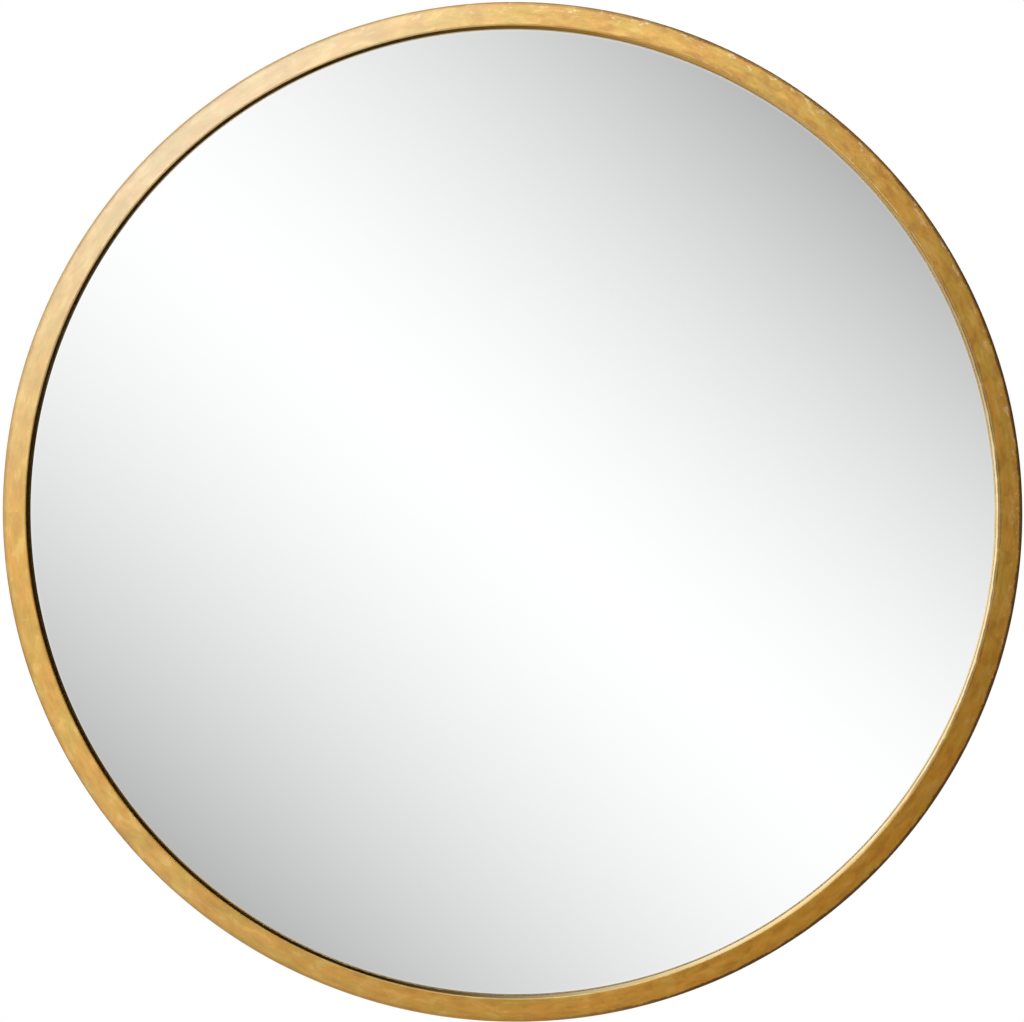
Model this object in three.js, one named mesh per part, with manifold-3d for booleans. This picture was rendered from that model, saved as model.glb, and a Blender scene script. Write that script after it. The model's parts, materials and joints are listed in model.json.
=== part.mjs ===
// Round convex wall mirror in a gilded steel ring. Millimetres, +Z up.
// The wall is the plane y = 0 and the mirror looks along -Y. The origin lies on the wall,
// straight behind the middle of the glass.
// The ring is an L section: a wall strip round the outside and a lip round the front. The domed
// glass, its packing and the backboard are stacked into it from behind, on a felt strip, and
// turning catches on welded lugs hold them in. It hangs on two D-rings and stands off on pads.
import * as THREE from "three";
import { mergeVertices } from "three/addons/utils/BufferGeometryUtils.js";
import Module from "manifold-3d";

const wasm = await Module();
wasm.setup();

// Steel ring
const FRAME_RADIUS = 400; // outside
const FACE_WIDTH = 18; // flat front face, from the outside to the bevel
const BEVEL_WIDTH = 2.6; // bevel round the glass, measured across the face
const BEVEL_DEPTH = 3.2; // the same bevel, measured from front to back
const SIGHT_LAND = 0.8; // straight edge left behind the bevel
const OUTER_ARRIS = 1.6; // rounding of the outer front edge
const WALL_THICKNESS = 3; // strip round the outside
const WALL_STANDOFF = 3.5; // rear edge of the ring to the wall

// What is stacked into the ring
const GLASS_THICKNESS = 4;
const DOME_RISE = 40; // how far the glass bulges in front of its flat rim
const FELT_THICKNESS = 1.5;
const FELT_INSET = 1; // felt and flat rim start this far behind the sight edge
const PACKING_THICKNESS = 6;
const PACKING_WIDTH = 16;
const BOARD_THICKNESS = 9;

// Lugs welded inside the ring, with a turning catch on each
const CATCH_COUNT = 8;
const LUG_LENGTH = 16; // along the ring
const LUG_REACH = 11; // in from the wall strip
const LUG_DEPTH = 10; // front to back
const CATCH_ARM = 22; // pivot to tip
const CATCH_WIDTH = 10;
const CATCH_THICKNESS = 2;

// Screws, as radii and lengths
const MACHINE_SHANK = 2;
const MACHINE_HEAD = 4;
const WOOD_SHANK = 1.75;
const WOOD_HEAD = 3.6;
const HEAD_HEIGHT = 2.4;
const WOOD_BITE = 7; // length of a hanger screw inside the board

// Strap hangers, each with a D-ring in its fold
const HANGER_INSET = 50; // pivot inside the edge of the board
const HANGER_ANGLE = 63.6; // degrees round from the top, to each side
const STRAP_WIDTH = 14;
const STRAP_LENGTH = 42; // pivot to tail
const STRAP_THICKNESS = 1.5;
const FOLD_LENGTH = 14; // pivot to the end of the folded-over layer
const FOLD_SLOPE = 6; // part of it that slopes down to the tail
const FOLD_SCREW = 10; // upper screw, below the pivot
const TAIL_SCREW = 10; // lower screw, above the tail
const STRAP_CORNER = 3;
const WIRE_RADIUS = 1.5;
const RING_HEIGHT = 17; // pivot to the middle of the wire at the top
const RING_CORNER = 3;
const WIRE_SPLIT = 0.6; // between the wire's two ends, inside the fold

// Rubber wall pads
const PAD_RADIUS = 10;
const PAD_TAPER = 1; // smaller by this at the wall
const PAD_EDGE = 0.8; // chamfer round the wall face
const PAD_INSET = 26; // pad's middle inside the edge of the board
const PAD_COUNT = 4;

// Clearances
const FIT_GAP = 0.3; // between pieces that touch
const DISC_CLEARANCE = 0.7; // glass, felt, packing and board inside the lugs
const RING_SIDE_GAP = 1; // D-ring to each side of its strap
const HANGER_WALL_GAP = 0.9; // strap fold to the wall

// Facets
const RING_SIDES = 96;
const DOME_STEPS = 8;
const ARRIS_STEPS = 2;
const SCREW_SIDES = 16;
const PAD_SIDES = 24;
const FOLD_STEPS = 5;
const WIRE_SIDES = 8;
const WIRE_STEPS = 36;

// Places that follow, from the wall forwards
const pivotLift = STRAP_THICKNESS + FIT_GAP + WIRE_RADIUS; // D-ring pivot above the strap's seat
const foldRadius = pivotLift; // outside of the fold
const strapScrews = [FOLD_SCREW, STRAP_LENGTH - TAIL_SCREW];
const hangerDepth = FIT_GAP + pivotLift + foldRadius;
const padHeight = hangerDepth + HANGER_WALL_GAP;
const boardRear = -(padHeight + FIT_GAP);
const boardFront = boardRear - BOARD_THICKNESS;
const packingRear = boardFront - FIT_GAP;
const packingFront = packingRear - PACKING_THICKNESS;
const glassRear = packingFront - FIT_GAP;
const rimFront = glassRear - GLASS_THICKNESS;
const feltRear = rimFront - FIT_GAP;
const feltFront = feltRear - FELT_THICKNESS;
const lipRear = feltFront - FIT_GAP;
const frameFront = lipRear - SIGHT_LAND - BEVEL_DEPTH;
const frameRear = -WALL_STANDOFF;

// Radii that follow, from the outside inwards
const faceInner = FRAME_RADIUS - FACE_WIDTH;
const sightRadius = faceInner - BEVEL_WIDTH;
const wallInner = FRAME_RADIUS - WALL_THICKNESS;
const wallClear = wallInner * Math.cos(Math.PI / RING_SIDES) - FIT_GAP; // clear of every facet
const discRadius = wallClear - LUG_REACH - DISC_CLEARANCE;
const domeRadius = sightRadius + FELT_INSET;
const catchHalf = CATCH_WIDTH / 2;
// Turned along the ring, a catch still clears the wall strip at its tip.
const pivotRadius = Math.sqrt(wallClear ** 2 - CATCH_ARM ** 2) - catchHalf;
const hangerTurn = THREE.MathUtils.degToRad(HANGER_ANGLE);
const hangerX = (discRadius - HANGER_INSET) * Math.sin(hangerTurn);
const hangerZ = (discRadius - HANGER_INSET) * Math.cos(hangerTurn);

const leaf = { color: 0xc9974f, roughness: 0.42, metalness: 0.9 };
const mirror = { color: 0xe4e6e8, roughness: 0.03, metalness: 1 };
const felt = { color: 0x141311, roughness: 0.95, metalness: 0 };
const strawboard = { color: 0x9a8468, roughness: 0.9, metalness: 0 };
const fibreboard = { color: 0xa07c55, roughness: 0.8, metalness: 0 };
const blackSteel = { color: 0x1d1c1b, roughness: 0.55, metalness: 0.5 };
const zincSteel = { color: 0xb9bcbd, roughness: 0.35, metalness: 1 };
const brassPlate = { color: 0xb08d4a, roughness: 0.35, metalness: 1 };
const rubber = { color: 0x18191a, roughness: 0.85, metalness: 0 };

function piece(name, geometry, finish) {
  const mesh = new THREE.Mesh(geometry, new THREE.MeshStandardMaterial(finish));
  mesh.name = name;
  return mesh;
}

// A body of revolution about the Y axis. The profile runs from front to back round the outside.
function turned(profile, sides) {
  return new THREE.LatheGeometry(profile, sides);
}

// A flat ring of square section, between two radii and two depths.
function flatRing(inner, outer, front, rear) {
  const profile = [
    new THREE.Vector2(inner, front),
    new THREE.Vector2(outer, front),
    new THREE.Vector2(outer, rear),
    new THREE.Vector2(inner, rear),
    new THREE.Vector2(inner, front),
  ];
  return turned(profile, RING_SIDES);
}

// An outline drawn as (x, z), made into a plate whose rear face is at y = 0.
function plate(outline, thickness, curveSegments) {
  const geometry = new THREE.ExtrudeGeometry(outline, {
    depth: thickness,
    bevelEnabled: false,
    curveSegments,
  });
  return geometry.rotateX(Math.PI / 2);
}

function roundHole(x, z, radius) {
  return new THREE.Path().absarc(x, z, radius, 0, 2 * Math.PI, true);
}

function toSolid(geometry) {
  const bare = geometry.index ? geometry.toNonIndexed() : geometry.clone();
  bare.deleteAttribute("normal");
  bare.deleteAttribute("uv");
  const merged = mergeVertices(bare);
  return new wasm.Manifold(
    new wasm.Mesh({
      numProp: 3,
      vertProperties: merged.attributes.position.array,
      triVerts: new Uint32Array(merged.index.array),
    }),
  );
}

function toGeometry(solid) {
  const mesh = solid.getMesh();
  const geometry = new THREE.BufferGeometry();
  geometry.setAttribute("position", new THREE.BufferAttribute(mesh.vertProperties, 3));
  geometry.setIndex(new THREE.BufferAttribute(mesh.triVerts, 1));
  geometry.computeVertexNormals();
  return geometry;
}

function gildedFrame() {
  const outline = new THREE.Path()
    .moveTo(sightRadius, lipRear - SIGHT_LAND)
    .lineTo(faceInner, frameFront)
    .lineTo(FRAME_RADIUS - OUTER_ARRIS, frameFront)
    .absarc(FRAME_RADIUS - OUTER_ARRIS, frameFront + OUTER_ARRIS, OUTER_ARRIS, -Math.PI / 2, 0)
    .lineTo(FRAME_RADIUS, frameRear)
    .lineTo(wallInner, frameRear)
    .lineTo(wallInner, lipRear)
    .lineTo(sightRadius, lipRear)
    .lineTo(sightRadius, lipRear - SIGHT_LAND);
  return piece("gilded_frame", turned(outline.getPoints(ARRIS_STEPS), RING_SIDES), leaf);
}

// The glass is one sheet: a spherical dome out of a narrow flat rim.
function convexGlass() {
  const sphere = (domeRadius ** 2 + DOME_RISE ** 2) / (2 * DOME_RISE);
  const sweep = Math.asin(domeRadius / sphere);
  const dome = Array.from({ length: DOME_STEPS + 1 }, (_, step) => {
    const angle = (sweep * step) / DOME_STEPS;
    const drop = sphere * (1 - Math.cos(angle));
    return new THREE.Vector2(sphere * Math.sin(angle), rimFront - DOME_RISE + drop);
  });
  const hollow = dome.map((point) => new THREE.Vector2(point.x, point.y + GLASS_THICKNESS));
  const profile = [
    ...dome,
    new THREE.Vector2(discRadius, rimFront),
    new THREE.Vector2(discRadius, glassRear),
    ...hollow.reverse(),
  ];
  return piece("convex_mirror_glass", turned(profile, RING_SIDES), mirror);
}

function feltStrip() {
  return piece("felt_strip", flatRing(domeRadius, discRadius, feltFront, feltRear), felt);
}

function packingRing() {
  const ring = flatRing(discRadius - PACKING_WIDTH, discRadius, packingFront, packingRear);
  return piece("packing_ring", ring, strawboard);
}

function backboard() {
  const profile = [
    new THREE.Vector2(0, boardFront),
    new THREE.Vector2(discRadius, boardFront),
    new THREE.Vector2(discRadius, boardRear),
    new THREE.Vector2(0, boardRear),
  ];
  const holeDepth = WOOD_BITE + FIT_GAP;
  let board = toSolid(turned(profile, RING_SIDES));
  for (const side of [-1, 1]) {
    for (const drop of strapScrews) {
      const hole = new THREE.CylinderGeometry(
        WOOD_SHANK + FIT_GAP,
        WOOD_SHANK + FIT_GAP,
        2 * holeDepth,
        SCREW_SIDES,
      );
      hole.translate(side * hangerX, boardRear, hangerZ - drop);
      board = board.subtract(toSolid(hole));
    }
  }
  return piece("backboard", toGeometry(board), fibreboard);
}

// Seated at y = 0 with the shank pointing forwards.
function panHeadScrew(name, shank, head, length, finish) {
  const profile = [
    new THREE.Vector2(0, -length),
    new THREE.Vector2(shank / 2, -length),
    new THREE.Vector2(shank, shank - length),
    new THREE.Vector2(shank, 0),
    new THREE.Vector2(head, 0),
    new THREE.Vector2(head, HEAD_HEIGHT / 2),
    new THREE.Vector2(head * 0.7, HEAD_HEIGHT),
    new THREE.Vector2(0, HEAD_HEIGHT),
  ];
  return piece(name, turned(profile, SCREW_SIDES), finish);
}

// Drawn at the top of the ring, with the pivot at (0, pivotRadius) and outwards along +Z.
function frameLug(name) {
  const outline = new THREE.Shape()
    .moveTo(-LUG_LENGTH / 2, wallClear - LUG_REACH)
    .lineTo(LUG_LENGTH / 2, wallClear - LUG_REACH)
    .lineTo(LUG_LENGTH / 2, wallClear)
    .lineTo(-LUG_LENGTH / 2, wallClear);
  outline.holes.push(roundHole(0, pivotRadius, MACHINE_SHANK + FIT_GAP));
  const lug = piece(name, plate(outline, LUG_DEPTH, SCREW_SIDES / 2), blackSteel);
  lug.position.y = boardRear;
  return lug;
}

function turnCatch(name) {
  const tip = pivotRadius - CATCH_ARM + catchHalf;
  const outline = new THREE.Shape()
    .absarc(0, pivotRadius, catchHalf, 0, Math.PI)
    .absarc(0, tip, catchHalf, Math.PI, 2 * Math.PI);
  outline.holes.push(roundHole(0, pivotRadius, MACHINE_SHANK + FIT_GAP));
  const catchPlate = piece(name, plate(outline, CATCH_THICKNESS, SCREW_SIDES / 2), zincSteel);
  catchPlate.position.y = boardRear + FIT_GAP + CATCH_THICKNESS;
  return catchPlate;
}

function catchScrew(name) {
  const seat = FIT_GAP + CATCH_THICKNESS + FIT_GAP;
  const screw = panHeadScrew(name, MACHINE_SHANK, MACHINE_HEAD, seat + LUG_DEPTH, zincSteel);
  screw.position.set(0, boardRear + seat, pivotRadius);
  return screw;
}

// Side view of the strap as (away from the board, up), with the pivot at height 0.
function strapSideView() {
  const foldTop = 2 * STRAP_THICKNESS;
  const outline = new THREE.Shape()
    .moveTo(0, -STRAP_LENGTH)
    .lineTo(STRAP_THICKNESS, -STRAP_LENGTH)
    .lineTo(STRAP_THICKNESS, -FOLD_LENGTH)
    .lineTo(foldTop, -FOLD_LENGTH)
    .lineTo(foldTop, -FOLD_SLOPE)
    .lineTo(pivotLift + foldRadius, 0)
    .absarc(pivotLift, 0, foldRadius, 0, Math.PI);
  outline.holes.push(roundHole(pivotLift, 0, WIRE_RADIUS + FIT_GAP));
  return outline;
}

// Rear view of the strap as (x, z), with round corners at the tail and the two screw holes.
function strapRearView() {
  const half = STRAP_WIDTH / 2;
  const foldEnd = foldRadius + FIT_GAP; // past the fold, which this view doesn't trim
  const outline = new THREE.Shape()
    .moveTo(-half, foldEnd)
    .lineTo(-half, STRAP_CORNER - STRAP_LENGTH)
    .absarc(STRAP_CORNER - half, STRAP_CORNER - STRAP_LENGTH, STRAP_CORNER, Math.PI, 1.5 * Math.PI)
    .absarc(half - STRAP_CORNER, STRAP_CORNER - STRAP_LENGTH, STRAP_CORNER, 1.5 * Math.PI, 2 * Math.PI)
    .lineTo(half, foldEnd);
  for (const drop of strapScrews) {
    outline.holes.push(roundHole(0, -drop, WOOD_SHANK + FIT_GAP));
  }
  return outline;
}

function hangerStrap(name) {
  const side = new THREE.ExtrudeGeometry(strapSideView(), {
    depth: STRAP_WIDTH,
    bevelEnabled: false,
    curveSegments: FOLD_STEPS,
  });
  const sideAxes = new THREE.Matrix4().makeBasis(
    new THREE.Vector3(0, 1, 0),
    new THREE.Vector3(0, 0, 1),
    new THREE.Vector3(1, 0, 0),
  );
  side.applyMatrix4(sideAxes).translate(-STRAP_WIDTH / 2, 0, 0);
  const past = FIT_GAP; // the rear view is cut this far beyond both faces
  const rear = plate(strapRearView(), hangerDepth + 2 * past, FOLD_STEPS);
  rear.translate(0, hangerDepth + past, 0);
  const solid = toSolid(side).intersect(toSolid(rear));
  return piece(name, toGeometry(solid), brassPlate);
}

// The wire of the D-ring as (x, z) from one end of the split to the other.
function wireRoute() {
  const half = STRAP_WIDTH / 2 + RING_SIDE_GAP + WIRE_RADIUS;
  return new THREE.Path()
    .moveTo(WIRE_SPLIT / 2, 0)
    .lineTo(half - RING_CORNER, 0)
    .absarc(half - RING_CORNER, RING_CORNER, RING_CORNER, -Math.PI / 2, 0)
    .lineTo(half, RING_HEIGHT - half)
    .absarc(0, RING_HEIGHT - half, half, 0, Math.PI)
    .lineTo(-half, RING_CORNER)
    .absarc(RING_CORNER - half, RING_CORNER, RING_CORNER, Math.PI, 1.5 * Math.PI)
    .lineTo(-WIRE_SPLIT / 2, 0);
}

function hangerRing(name) {
  const points = wireRoute()
    .getSpacedPoints(WIRE_STEPS)
    .map((point) => new THREE.Vector3(point.x, 0, point.y));
  const section = new THREE.Shape().absarc(0, 0, WIRE_RADIUS, 0, 2 * Math.PI);
  const geometry = new THREE.ExtrudeGeometry(section, {
    extrudePath: new THREE.CatmullRomCurve3(points),
    steps: WIRE_STEPS,
    curveSegments: WIRE_SIDES / 2,
  });
  const ring = piece(name, geometry, brassPlate);
  // It leans on the board by its top.
  const wireSeat = FIT_GAP + WIRE_RADIUS;
  ring.rotation.x = Math.asin((FIT_GAP + pivotLift - wireSeat) / RING_HEIGHT);
  ring.position.y = pivotLift;
  return ring;
}

function hanger(number, side) {
  const group = new THREE.Group();
  group.add(hangerStrap(`hanger_strap_${number}`));
  group.add(hangerRing(`hanger_d_ring_${number}`));
  const layers = [2 * STRAP_THICKNESS, STRAP_THICKNESS]; // under the upper and the lower screw
  strapScrews.forEach((drop, index) => {
    const name = `hanger_${number}_screw_${index + 1}`;
    const seat = layers[index] + FIT_GAP;
    const screw = panHeadScrew(name, WOOD_SHANK, WOOD_HEAD, FIT_GAP + seat + WOOD_BITE, brassPlate);
    screw.position.set(0, seat, -drop);
    group.add(screw);
  });
  group.position.set(side * hangerX, boardRear + FIT_GAP, hangerZ);
  return group;
}

function wallPad(name) {
  const profile = [
    new THREE.Vector2(0, -padHeight),
    new THREE.Vector2(PAD_RADIUS, -padHeight),
    new THREE.Vector2(PAD_RADIUS - PAD_TAPER, -PAD_EDGE),
    new THREE.Vector2(PAD_RADIUS - PAD_TAPER - PAD_EDGE, 0),
    new THREE.Vector2(0, 0),
  ];
  const pad = piece(name, turned(profile, PAD_SIDES), rubber);
  pad.position.z = discRadius - PAD_INSET;
  return pad;
}

const model = new THREE.Group();
model.add(gildedFrame(), convexGlass(), feltStrip(), packingRing(), backboard());

for (let index = 0; index < CATCH_COUNT; index += 1) {
  const number = index + 1;
  const station = new THREE.Group();
  station.add(frameLug(`frame_lug_${number}`));
  station.add(turnCatch(`turn_catch_${number}`));
  station.add(catchScrew(`catch_screw_${number}`));
  station.rotation.y = (2 * Math.PI * (index + 0.5)) / CATCH_COUNT;
  model.add(station);
}

for (let index = 0; index < PAD_COUNT; index += 1) {
  const station = new THREE.Group();
  station.add(wallPad(`wall_pad_${index + 1}`));
  station.rotation.y = (2 * Math.PI * (index + 0.5)) / PAD_COUNT;
  model.add(station);
}

model.add(hanger(1, -1), hanger(2, 1));

export default model;
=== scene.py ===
import json
import math
from collections import namedtuple

import bmesh
import bpy
from mathutils import Matrix, Vector, noise


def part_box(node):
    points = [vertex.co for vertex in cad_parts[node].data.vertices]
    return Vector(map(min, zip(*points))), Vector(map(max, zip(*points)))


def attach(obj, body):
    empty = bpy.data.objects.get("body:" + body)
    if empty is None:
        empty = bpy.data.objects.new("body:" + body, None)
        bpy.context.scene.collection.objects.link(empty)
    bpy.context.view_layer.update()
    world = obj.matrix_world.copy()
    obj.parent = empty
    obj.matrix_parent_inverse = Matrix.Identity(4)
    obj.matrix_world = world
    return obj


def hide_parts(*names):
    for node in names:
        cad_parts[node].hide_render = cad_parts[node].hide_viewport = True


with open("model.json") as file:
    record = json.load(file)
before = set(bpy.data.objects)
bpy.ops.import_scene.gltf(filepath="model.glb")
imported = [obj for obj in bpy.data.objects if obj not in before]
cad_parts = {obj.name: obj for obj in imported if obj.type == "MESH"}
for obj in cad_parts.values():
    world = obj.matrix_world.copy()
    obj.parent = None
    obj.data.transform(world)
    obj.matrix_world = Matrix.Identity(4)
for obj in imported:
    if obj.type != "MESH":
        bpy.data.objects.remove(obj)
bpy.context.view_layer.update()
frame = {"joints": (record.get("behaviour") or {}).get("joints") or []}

# -------- sizes, in metres
MM = 0.001
ring_low, ring_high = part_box("gilded_frame")
glass_low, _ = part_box("convex_mirror_glass")
board_low, board_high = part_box("backboard")
felt_low, felt_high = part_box("felt_strip")
packing_low, packing_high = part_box("packing_ring")

OUTER = ring_high.x  # outside of the ring
FRONT = ring_low.y  # its flat face
REAR = ring_high.y
DISC = board_high.x  # radius of glass, felt, packing and board
BOARD_REAR = board_high.y
FIT_GAP = 0.3 * MM  # what the solids leave between neighbours
SEAT = BOARD_REAR + FIT_GAP  # of the catches and the straps
BODY = "mirror_body"  # all that stands still

# Section of the mirror's ring
FACE_WIDTH = 18.0 * MM
BEVEL_WIDTH = 2.6 * MM
BEVEL_DEPTH = 3.2 * MM
SIGHT_LAND = 0.8 * MM
NIB_WIDTH = 0.8 * MM  # the lip's inner edge turned back towards the glass
NIB_DEPTH = 1.1 * MM
WALL = 3.0 * MM
FACE_INNER = OUTER - FACE_WIDTH
SIGHT = FACE_INNER - BEVEL_WIDTH
LIP_REAR = FRONT + BEVEL_DEPTH + SIGHT_LAND
WALL_INNER = OUTER - WALL
SIGHT_ROUNDING = 0.35 * MM
BEVEL_ROUNDING = 2.2 * MM
OUTER_ROUNDING = 1.6 * MM
REAR_ROUNDING = 0.6 * MM
LIP_FILLET = 1.2 * MM
NIB_FILLET = 0.1 * MM
NIB_ROUNDING = 0.2 * MM
PAINT_FRONT = LIP_REAR - 0.2 * MM  # the black paint inside the ring starts here
BURNISH_OUTER = FACE_INNER - 0.3 * MM  # the burnished bevel ends here

# Rolled and rubbed by hand: out of true at the face, with shallow dents
UNTRUE_DEPTH = 25.0 * MM  # how far back from the face the ring is out of true
# Waves round the ring, their size, and the degrees from +X towards +Z of a crest
UNTRUE_WAVES = ((2, 0.55 * MM, -48.0), (3, 0.50 * MM, -58.0))
DENT_SCALE = 9  # dents to a radius of the ring
DENT_DEPTH_SCALE = 8  # such radii to a metre of the ring's depth
SMALL_DENT_SCALE = 4.3  # small dents to a dent
DENT = 0.10 * MM
SMALL_DENT = 0.05 * MM
DENTED_SKIN = 1.0 * MM  # dented this far from the face and the outside

# Glass and what holds it
FELT_INSET = 1.0 * MM
GLASS_THICKNESS = 4.0 * MM
GLASS_GROUND_EDGE = 0.6 * MM
DOME_RISE = 40.0 * MM
DOME_STEPS = 80
DOME_REAR_STRIDE = 4  # the painted rear takes every fourth of the steps
PACKING_WIDTH = 16.0 * MM
FELT_EDGE = 0.4 * MM
PACKING_EDGE = 0.5 * MM
BOARD_EDGE = 0.7 * MM

# Lugs and catches
CATCH_COUNT = 8
CATCH_ARM = 22.0 * MM  # pivot to tip
CATCH_WIDTH = 10.0 * MM
CATCH_THICKNESS = 2.0 * MM
CATCH_EDGE = 0.45 * MM
RIB_LENGTH = 11.0 * MM
RIB_HALF_WIDTH = 1.6 * MM
RIB_INSET = 7.5 * MM  # inwards of the pivot
RIB_HEIGHT = 0.5 * MM
RIB_THICKNESS = 0.8 * MM  # partly sunk in the catch
LUG_LENGTH = 16.0 * MM
LUG_REACH = 11.0 * MM
LUG_DEPTH = 10.0 * MM
LUG_EDGE = 0.5 * MM
LUG_CORNER = 0.8 * MM
LUG_ROOT_CORNER = 0.1 * MM
WELD_RADIUS = 1.7 * MM
WELD_INSET = 0.6 * MM  # from the lug's front and rear
WELD_SUNK = 0.1 * MM
WELD_STEPS = 40
SOLID_RING_SIDES = 96  # facets of the solid ring, which the lugs stand clear of
WALL_CLEAR = WALL_INNER * math.cos(math.pi / SOLID_RING_SIDES) - FIT_GAP
PIVOT_RADIUS = math.sqrt(WALL_CLEAR**2 - CATCH_ARM**2) - CATCH_WIDTH / 2

# Hangers
WIRE = 1.5 * MM  # radius of the D-ring wire
WIRE_SPACING = 0.2 * MM  # the least between its cross sections
D_RING_HEIGHT = 17.0 * MM
D_RING_CORNER = 3.0 * MM
D_RING_SIDE_GAP = 1.0 * MM
STRAP_THICKNESS = 1.5 * MM
STRAP_WIDTH = 14.0 * MM
STRAP_LENGTH = 42.0 * MM
STRAP_CORNER = 3.0 * MM
STRAP_EDGE = 0.4 * MM
STRAP_SKIN = 0.02 * MM  # off each side, so the folded layers don't meet
STRAP_SPACING = 1.2 * MM  # between the cross sections
FOLD_LENGTH = 14.0 * MM
FOLD_SLOPE = 6.0 * MM

# Screws: radii of shank and head, height of the head and length of the shank
MACHINE_SCREW = (2.0 * MM, 4.0 * MM, 2.4 * MM, 14.6 * MM)
WOOD_SCREW = (1.75 * MM, 3.6 * MM, 2.4 * MM, 9.0 * MM)
HEAD_CHAMFER = 0.15 * MM
HEAD_SIDE = 0.42  # of the head's height, below its dome
HEAD_FULLNESS = 0.8  # lower is fuller
HEAD_STEPS = 7
RECESS_DEPTH = 1.5 * MM
RECESS_REACH = 0.56  # of the head's radius
RECESS_HALF_WIDTH = 0.42 * MM
RECESS_TAPER = 0.45  # of its reach, at the bottom
RECESS_OVERSHOOT = 0.2 * MM
SCREW_TURN_SCALE = 31  # spreads the angles of the screws

# Wall pads
PAD_COUNT = 4
PAD_TAPER = 1.0 * MM
PAD_FOOT_EDGE = 0.5 * MM
PAD_WALL_EDGE = 1.0 * MM
PAD_DISH = 0.5 * MM
PAD_DISH_OUTER = 0.62  # of the radius at the wall
PAD_DISH_INNER = 0.55
PAD_DISH_EDGE = 0.6 * MM
PAD_DISH_FILLET = 0.4 * MM

RING_SEGMENTS = 720
DISC_SEGMENTS = 360
SMALL_SEGMENTS = 48
WIRE_SIDES = 16
WELD_SIDES = 12


# -------- camera
CAMERA_DISTANCE = 5.0
SENSOR = 36.0
CLIP_END = 100.0
FRAME_WIDTH_PX = 1024
RING_RADIUS_PX = 511.4  # outside of the ring in the photograph
RING_OFFSET_PX = (1.2, 0.95)  # its middle right of and below the middle of the photograph


def make_camera():
    data = bpy.data.cameras.new("camera")
    camera = bpy.data.objects.new("camera", data)
    bpy.context.scene.collection.objects.link(camera)
    bpy.context.scene.camera = camera
    camera.location = (0, -CAMERA_DISTANCE, 0)
    camera.rotation_euler = (math.pi / 2, 0, 0)
    shown_width = OUTER / RING_RADIUS_PX * FRAME_WIDTH_PX
    data.sensor_width = SENSOR
    data.lens = SENSOR * (CAMERA_DISTANCE + FRONT) / shown_width
    data.shift_x = -RING_OFFSET_PX[0] / FRAME_WIDTH_PX
    data.shift_y = RING_OFFSET_PX[1] / FRAME_WIDTH_PX
    data.clip_end = CLIP_END


make_camera()


# -------- mesh helpers
MERGE_DISTANCE = 1e-7
ON_AXIS = 1e-9  # a smaller radius is the axis itself
NEARLY_STRAIGHT = math.pi - 1e-3
FLAT_WEIGHT = 80  # how far large flats rule the normals of the roundings beside them
PLATE_EDGE_STEPS = 3


def new_piece(name, verts, faces, materials=(), smooth=True):
    """A mesh object at the origin, with its faces turned outwards."""
    mesh = bpy.data.meshes.new(name)
    mesh.from_pydata([tuple(v) for v in verts], [], faces)
    work = bmesh.new()
    work.from_mesh(mesh)
    bmesh.ops.remove_doubles(work, verts=work.verts, dist=MERGE_DISTANCE)
    bmesh.ops.recalc_face_normals(work, faces=work.faces)
    for face in work.faces:
        face.smooth = smooth
    work.to_mesh(mesh)
    work.free()
    for material in materials:
        mesh.materials.append(material)
    piece = bpy.data.objects.new(name, mesh)
    bpy.context.scene.collection.objects.link(piece)
    return piece


def keep_flats(piece):
    """Shades flats flat and leaves the turn of the light to the roundings between them."""
    modifier = piece.modifiers.new("weighted_normals", "WEIGHTED_NORMAL")
    modifier.keep_sharp = True
    modifier.weight = FLAT_WEIGHT
    return piece


def arc(steps, start=0.0, turn=math.pi / 2):
    """Angles from start on, over a turn in equal steps."""
    return [start + turn * step / steps for step in range(steps + 1)]


def on_circle(a, b, radius, angles):
    return [(a + radius * math.cos(t), b + radius * math.sin(t)) for t in angles]


def rounded(corners, steps):
    """A closed outline of (a, b, radius) corners, with an arc in place of each corner."""
    outline = []
    count = len(corners)
    for index, (a, b, radius) in enumerate(corners):
        here = Vector((a, b))
        before = (Vector(corners[index - 1][:2]) - here).normalized()
        after = (Vector(corners[(index + 1) % count][:2]) - here).normalized()
        turn = before.angle(after, math.pi)
        if radius <= 0 or turn > NEARLY_STRAIGHT:
            outline.append(here)
            continue
        reach = radius / math.tan(turn / 2)
        middle = here + (before + after).normalized() * (radius / math.sin(turn / 2))
        start = here + before * reach - middle
        end = here + after * reach - middle
        swept = start.angle_signed(end)
        for step in range(steps + 1):
            turned = start.copy()
            turned.rotate(Matrix.Rotation(-swept * step / steps, 2))
            outline.append(middle + turned)
    return outline


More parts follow.
